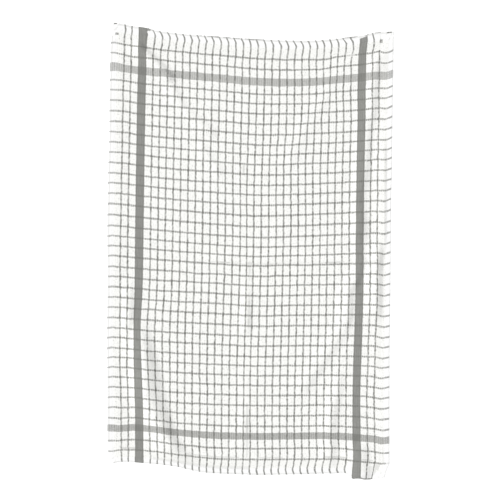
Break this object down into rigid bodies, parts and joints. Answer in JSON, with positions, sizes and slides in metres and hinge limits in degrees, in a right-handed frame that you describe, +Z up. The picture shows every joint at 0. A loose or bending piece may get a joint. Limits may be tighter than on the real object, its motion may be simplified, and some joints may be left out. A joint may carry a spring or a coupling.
{
  "type": "tea towel",
  "caption": "Woven cotton tea towel with a grid check, border bands and turned hems, lying face up with low folds and a bowed top edge.",
  "frame": {"origin": "the middle of the towel's footprint, on the surface it lies on", "axes": "+Z up, +Y towards the towel's top edge along its length, +X across it from the left edge to the right edge as seen from above"},
  "size_m": [0.486, 0.7758, 0.0102],
  "materials": {
    "cotton_cloth": "matt woven cotton, white with a grey check and border bands"
  },
  "bodies": {
    "root": {"towel": "cotton_cloth"}
  },
  "joints": []
}
